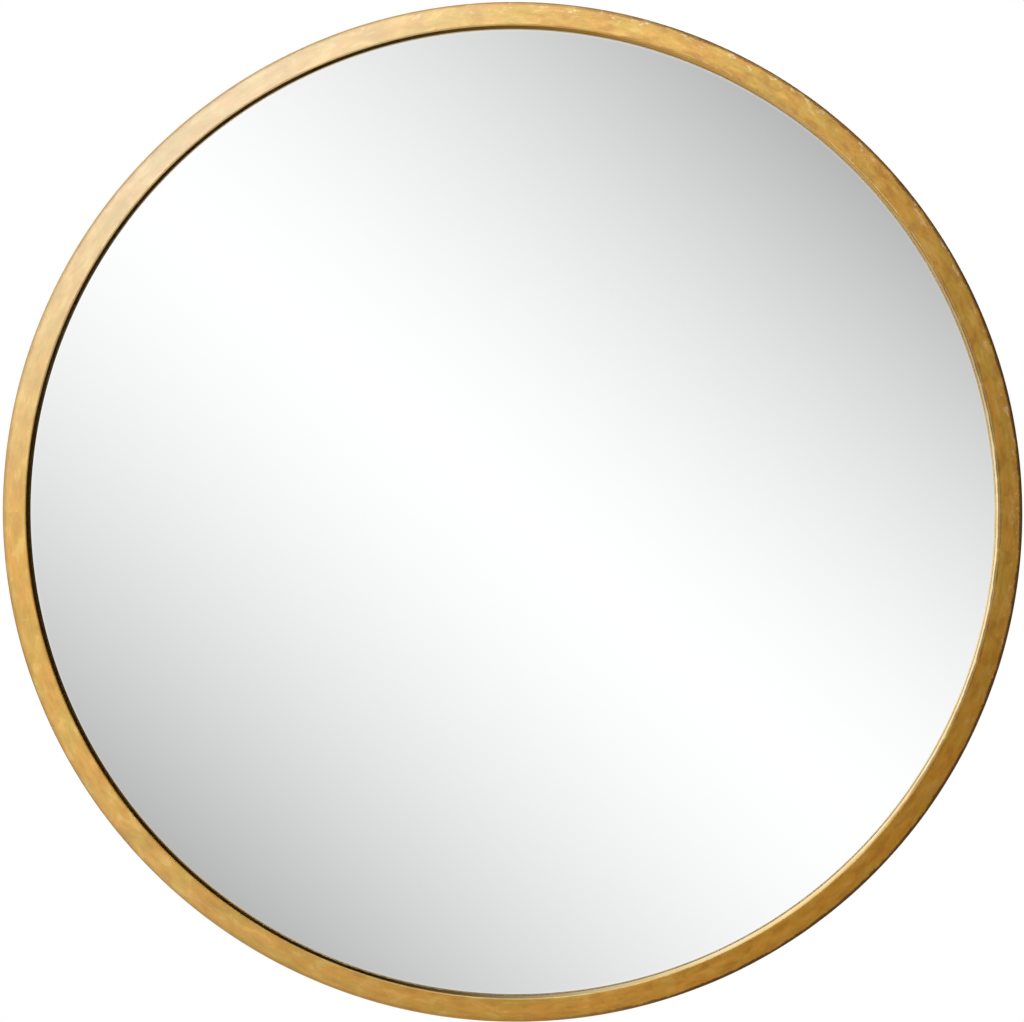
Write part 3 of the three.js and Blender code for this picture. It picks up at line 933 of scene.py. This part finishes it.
def make_lug(number, turn):
    """The block inside the wall that holds a catch's screw, with a weld on each side."""
    half = LUG_LENGTH / 2
    outline = rounded([
        (-half, WALL_CLEAR - LUG_REACH, LUG_CORNER),
        (half, WALL_CLEAR - LUG_REACH, LUG_CORNER),
        (half, WALL_CLEAR, LUG_ROOT_CORNER),
        (-half, WALL_CLEAR, LUG_ROOT_CORNER),
    ], steps=4)
    lug = plate(f"lug_block_{number}", outline, BOARD_REAR, LUG_DEPTH, LUG_EDGE, BLACK_PAINT)
    settle(move(lug, turn), BODY, "black_steel", f"frame_lug_{number}")
    root = WALL_CLEAR - WELD_SUNK
    for side, label in ((-half, "left"), (half, "right")):
        start = Vector((side, BOARD_REAR - WELD_INSET, root))
        end = Vector((side, BOARD_REAR - LUG_DEPTH + WELD_INSET, root))
        bead = weld_bead(f"lug_weld_{number}_{label}", start, end)
        settle(move(bead, turn), BODY, "black_steel")


def make_catch(number, turn):
    """The catch with its pressed rib, over the edge of the board."""
    body = f"turn_catch_{number}"
    rear = SEAT + CATCH_THICKNESS
    outline = stadium(CATCH_ARM, CATCH_WIDTH / 2, PIVOT_RADIUS, steps=14)
    arm = plate(f"catch_arm_{number}", outline, rear, CATCH_THICKNESS, CATCH_EDGE, ZINC)
    settle(move(arm, turn), body, "zinc_steel", f"turn_catch_{number}")
    outline = stadium(RIB_LENGTH, RIB_HALF_WIDTH, PIVOT_RADIUS - RIB_INSET, steps=10)
    rib = plate(f"catch_rib_{number}", outline, rear + RIB_HEIGHT, RIB_THICKNESS, CATCH_EDGE, ZINC)
    settle(move(rib, turn), body, "zinc_steel")


def make_catches():
    screw = screw_mesh("machine_screw", MACHINE_SCREW, ZINC)
    for number in range(1, CATCH_COUNT + 1):
        turn = Matrix.Rotation(2 * math.pi * (number - 0.5) / CATCH_COUNT, 4, "Y")
        make_lug(number, turn)
        make_catch(number, turn)
        set_screw(f"catch_screw_head_{number}", screw, f"catch_screw_{number}", "zinc_steel")


# -------- hangers
def strap_path(lift):
    """The strap's middle line as (away from the board, up) with the pivot at height 0."""
    half = STRAP_THICKNESS / 2
    bend = lift - half
    points = [(half, -STRAP_LENGTH), (half, -STRAP_LENGTH + 2 * MM), (half, -FOLD_SLOPE), (half, 0)]
    for angle in arc(16, -math.pi / 2, math.pi)[1:]:
        points.append((lift + bend * math.sin(angle), bend * math.cos(angle)))
    over = 3 * half
    for step in range(1, 9):
        share = step / 8
        ease = share * share * (3 - 2 * share)
        points.append((lift + bend + (over - lift - bend) * ease, -FOLD_SLOPE * share))
    points.append((over, -FOLD_LENGTH))
    return points


def strap_stations(lift):
    """Close points along the strap from its tail, closest where its corners are rounded."""
    path = strap_path(lift)
    dense = []
    for here, there in zip(path, path[1:]):
        count = max(1, round(math.dist(here, there) / STRAP_SPACING))
        for step in range(count):
            dense.append((here[0] + (there[0] - here[0]) * step / count,
                          here[1] + (there[1] - here[1]) * step / count))
    dense.append(path[-1])
    tail = [(STRAP_THICKNESS / 2, -STRAP_LENGTH + STRAP_CORNER * (1 - math.cos(a)))
            for a in arc(6)]
    return tail + [p for p in dense if p[1] > -STRAP_LENGTH + STRAP_CORNER]


def strap_half_width(height):
    """Half the strap's width at a height, less where the corners of the tail are rounded."""
    below = STRAP_CORNER - (height + STRAP_LENGTH)
    if below <= 0:
        return STRAP_WIDTH / 2
    return STRAP_WIDTH / 2 - (STRAP_CORNER - math.sqrt(max(STRAP_CORNER**2 - below**2, 0)))


def make_strap(name, pivot, node):
    """One strip of metal, folded round the wire, with rounded edges and a rounded tail."""
    stations = strap_stations(pivot.y - SEAT)
    half_thick = STRAP_THICKNESS / 2 - STRAP_SKIN
    verts = []
    for index, here in enumerate(stations):
        before = stations[max(index - 1, 0)]
        after = stations[min(index + 1, len(stations) - 1)]
        along = Vector((after[0] - before[0], after[1] - before[1])).normalized()
        normal = Vector((along.y, -along.x))
        half_width = strap_half_width(here[1])
        section = rounded([
            (-half_width, -half_thick, STRAP_EDGE),
            (half_width, -half_thick, STRAP_EDGE),
            (half_width, half_thick, STRAP_EDGE),
            (-half_width, half_thick, STRAP_EDGE),
        ], steps=3)
        for point in section:
            depth = here[0] + normal.x * point.y
            up = here[1] + normal.y * point.y
            verts.append((pivot.x + point.x, SEAT + depth, pivot.z + up))
    faces = tube_faces(len(stations), len(section))
    strap = keep_flats(new_piece(name, verts, faces, (BRASSED,)))
    return settle(strap, BODY, "brassed_steel", node)


def d_outline(half, height, corner):
    """The D-ring's wire line as (x, up) from the middle of its straight bar."""
    return [
        (0, 0),
        *on_circle(half - corner, corner, corner, arc(8, -math.pi / 2)),
        *on_circle(0, height - half, half, arc(32, turn=math.pi)),
        *on_circle(corner - half, corner, corner, arc(8, math.pi)),
    ]


def make_d_ring(name, pivot, body):
    """The wire, leaning on the board. Its body and its CAD node have one name."""
    half = STRAP_WIDTH / 2 + D_RING_SIDE_GAP + WIRE
    lean = math.asin((pivot.y - SEAT - WIRE) / D_RING_HEIGHT)
    tilt = Matrix.Rotation(lean, 3, "X")
    path = []
    for x, up in d_outline(half, D_RING_HEIGHT, D_RING_CORNER):
        point = pivot + tilt @ Vector((x, 0, up))
        if not path or (point - path[-1]).length > WIRE_SPACING:
            path.append(point)
    first_side = tilt @ Vector((0, 1, 0))
    wire = sweep(name, path, lambda share: WIRE, WIRE_SIDES, BRASSED, first_side, closed=True)
    return settle(wire, body, "brassed_steel", body)


def make_hangers():
    screw = screw_mesh("wood_screw", WOOD_SCREW, BRASSED)
    joints = {joint["name"]: joint for joint in frame["joints"]}
    for number in (1, 2):
        body = f"hanger_d_ring_{number}"
        pivot = Vector(joints[f"{body}_pivot"]["pos_m"])
        make_strap(f"strap_{number}", pivot, f"hanger_strap_{number}")
        make_d_ring(f"d_ring_wire_{number}", pivot, body)
        for place in (1, 2):
            set_screw(f"strap_screw_{number}_{place}", screw, f"hanger_{number}_screw_{place}",
                      "brassed_steel")


# -------- wall pads
def make_pads():
    """Rubber feet that taper towards the wall, with a dish in the wall face."""
    for number in range(1, PAD_COUNT + 1):
        node = f"wall_pad_{number}"
        low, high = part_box(node)
        base = (high.x - low.x) / 2
        wall_side = base - PAD_TAPER
        corners = [
            (base, low.y, PAD_FOOT_EDGE),
            (wall_side, high.y, PAD_WALL_EDGE),
            (wall_side * PAD_DISH_OUTER, high.y, PAD_DISH_EDGE),
            (wall_side * PAD_DISH_INNER, high.y - PAD_DISH, PAD_DISH_FILLET),
            (0, high.y - PAD_DISH, 0),
            (0, low.y, 0),
        ]
        outline = rounded(corners, steps=4)
        profile = outline[-1:] + outline[:-1]  # starts and ends on the axis
        pad = revolve(f"rubber_pad_{number}", profile, SMALL_SEGMENTS, (RUBBER,), closed=False)
        middle = (low + high) / 2
        move(pad, Matrix.Translation((middle.x, 0, middle.z)))
        settle(pad, BODY, "black_rubber", node)


make_ring()
glass = make_glass()
make_stack()
make_catches()
make_hangers()
make_pads()


# -------- floor
WHITE = (1.0, 1.0, 1.0)
FLOOR_HEIGHT = -0.75
FLOOR_REACH = 3.2
FLOOR_FADE = (0.4, 2.0)  # from here to here it fades into the white background
FLOOR_FADED = 0.62  # how far it has faded already under the mirror
FLOOR_GREYS = (0.80, 0.80, 0.80), (0.84, 0.84, 0.84)


def make_floor():
    """A pale floor under the mirror. The glass and views from below look through it."""
    corners = ((-1, -1), (1, -1), (1, 1), (-1, 1))
    verts = [(x * FLOOR_REACH, y * FLOOR_REACH, FLOOR_HEIGHT) for x, y in corners]
    g = Finish("pale_floor")
    place = g.place()
    x, y, _ = g.split(place)
    fade = g.between(g.length(x, y), *FLOOR_FADE, FLOOR_FADED, 1.0)
    path = g.node("LightPath").outputs
    seen = g.larger(path["Is Camera Ray"], path["Is Transmission Ray"])
    colour = g.mix(g.noise(place, 60.0), *FLOOR_GREYS)
    g.dress({"Base Color": colour}, {"Roughness": 0.9, "Specular IOR Level": 0.1})
    glow = g.node("Emission", {"Color": (*WHITE, 1), "Strength": 1.0})
    clear = g.node("BsdfTransparent")
    lit = {0: g.times(fade, seen), 1: g.shader.outputs[0], 2: glow.outputs[0]}
    lit = g.node("MixShader", lit).outputs[0]
    below = g.node("NewGeometry").outputs["Backfacing"]
    below = g.larger(below, path["Is Singular Ray"])
    shown = g.node("MixShader", {0: below, 1: lit, 2: clear.outputs[0]})
    output = g.tree.nodes["Material Output"]
    g.tree.links.new(shown.outputs[0], output.inputs["Surface"])
    floor = new_piece("floor", verts, [[0, 1, 2, 3]], (g.material,), smooth=False)
    return floor


# -------- world
WARM_TONE = (1.0, 0.58, 0.06)
COOL_TONE = (1.0, 0.94, 0.78)
BACKDROP = 1.03  # white in the middle of the glass, just over 1
GREY_CORNER = (0.66, 0.75)  # towards one of its grey corners; the other lies opposite
CORNER_POWER = 1.59
CORNER_LIMIT = 0.47
BRIGHT_SIDE = (-0.8, 0.6)
DIM_ARRIS_SIDE = (-0.94, 0.34)
AHEAD = 0.015  # soft light from straight ahead
FIRST_REFLECTION = 2.5  # ray depth at the background: seen directly 1, in the glass 2


def grey_of(g, value):
    return g.vector(value, value, value)


def seen_in_glass(g, x, y, z):
    """The white backdrop, which falls off to grey towards two opposite corners."""
    corner = g.math("MINIMUM", g.math("ABSOLUTE", g.toward(x, z, GREY_CORNER)), CORNER_LIMIT)
    off_axis = g.between(y, -0.86, -0.70, 1.8, 0.6)
    fall = g.times(g.math("POWER", corner, CORNER_POWER), off_axis)
    return grey_of(g, g.minus(BACKDROP, fall))


def soft_light(g, x, y, z):
    """Bright and pale from the upper left, dim and warm from the lower right.

    In front of the mirror it comes in rings: what the burnished bevel and the lip see, what the
    outer arris sees, and straight ahead.
    """
    lean = g.toward(x, z, BRIGHT_SIDE)
    around = g.between(lean, -0.9, 0.9, 0.14, 0.75)
    for_bevel = g.between(x, 0.25, -0.5, 0.004, 1.1)
    for_bevel = g.times(for_bevel, g.between(z, -0.30, 0.0, 0.5, 1.0))
    for_arris = g.between(g.toward(x, z, DIM_ARRIS_SIDE), 0.0, 0.30, 0.42, 0.06)
    bevel_ring = g.between(y, -0.32, -0.20, 1.0, 0.0)
    arris_ring = g.times(g.between(y, -0.70, -0.64, 1.0, 0.0), g.between(y, -0.86, -0.82))
    ahead = g.between(y, -0.95, -0.91, 1.0, 0.0)
    soft = g.mix(bevel_ring, grey_of(g, around), grey_of(g, for_bevel))
    soft = g.mix(arris_ring, soft, grey_of(g, for_arris))
    soft = g.mix(ahead, soft, (AHEAD, AHEAD, AHEAD))
    leftward = g.times(g.between(x, 0.15, -0.5), g.between(z, -0.45, -0.1, 0.35, 1.0))
    cool = g.larger(g.between(lean, -0.1, 0.7), leftward)
    cool = g.times(cool, g.minus(1.0, g.larger(arris_ring, ahead)))
    return g.mix(1.0, g.mix(cool, WARM_TONE, COOL_TONE), soft, "MULTIPLY")


def make_world():
    """White behind the object and in the glass, soft studio light for everything else."""
    world = bpy.data.worlds.new("studio")
    bpy.context.scene.world = world
    world.use_nodes = True
    g = Graph(world.node_tree)
    direction = g.split(g.node("TexCoord").outputs["Generated"])
    path = g.node("LightPath").outputs
    first = g.math("LESS_THAN", path["Ray Depth"], FIRST_REFLECTION)
    in_glass = g.times(path["Is Singular Ray"], first)
    shown = g.mix(in_glass, soft_light(g, *direction), seen_in_glass(g, *direction))
    behind = g.larger(path["Is Camera Ray"], path["Is Transmission Ray"])
    shown = g.mix(behind, shown, WHITE)
    background = world.node_tree.nodes["Background"]
    world.node_tree.links.new(shown, background.inputs["Color"])
    background.inputs["Strength"].default_value = 1.0


# -------- lamps
# Name, place, aim, width in metres, power in watts and colour
FRONT_LAMPS = (
    ("key", (-0.287, -1.1, 0.381), (-0.2, 0, 0.27), 0.36, 1.92, (0.54, 0.70, 1.0)),
    ("top_fill", (0.16, -1.0, 0.78), (0.1, 0, 0.3), 0.6, 3.24, (1.0, 1.0, 0.78)),
    ("side_fill", (-0.64, -1.0, -0.54), (-0.3, 0, -0.2), 0.6, 2.30, (0.78, 0.90, 1.0)),
    ("low_fill", (0.25, -1.0, -0.72), (0.1, 0, -0.3), 0.6, 0.8, (1.0, 0.62, 0.14)),
    ("left_fill", (-0.75, -1.0, 0.05), (-0.35, 0, 0.0), 0.6, 1.57, (1.0, 0.91, 0.65)),
)
REAR_LAMP = ("rear_fill", (0.9, 1.6, 1.1), (0, 0, 0), 1.4, 26.0, (1.0, 0.99, 0.97))


def all_but(name, *pieces):
    """A collection for lamps that light everything but these pieces."""
    dark = bpy.data.collections.new(name)
    for piece in pieces:
        dark.objects.link(piece)
    for member in dark.collection_objects:
        member.light_linking.link_state = "EXCLUDE"
    return dark


def make_lamp(lamp, receivers):
    name, place, aim, width, power, colour = lamp
    data = bpy.data.lights.new(name, "AREA")
    data.shape = "DISK"
    data.size = width
    data.energy = power
    data.color = colour
    made = bpy.data.objects.new(name, data)
    bpy.context.scene.collection.objects.link(made)
    made.location = place
    made.rotation_euler = (Vector(aim) - Vector(place)).to_track_quat("-Z", "Y").to_euler()
    made.light_linking.receiver_collection = receivers


floor = make_floor()
make_world()
# The glass would show the lamps as discs, and the floor where the light of the front ones ends.
but_glass = all_but("glass_shows_no_lamps", glass)
but_glass_and_floor = all_but("glass_and_floor_show_no_lamps", glass, floor)
for lamp in FRONT_LAMPS:
    make_lamp(lamp, but_glass_and_floor)
make_lamp(REAR_LAMP, but_glass)

bpy.context.scene.view_settings.view_transform = "Standard"
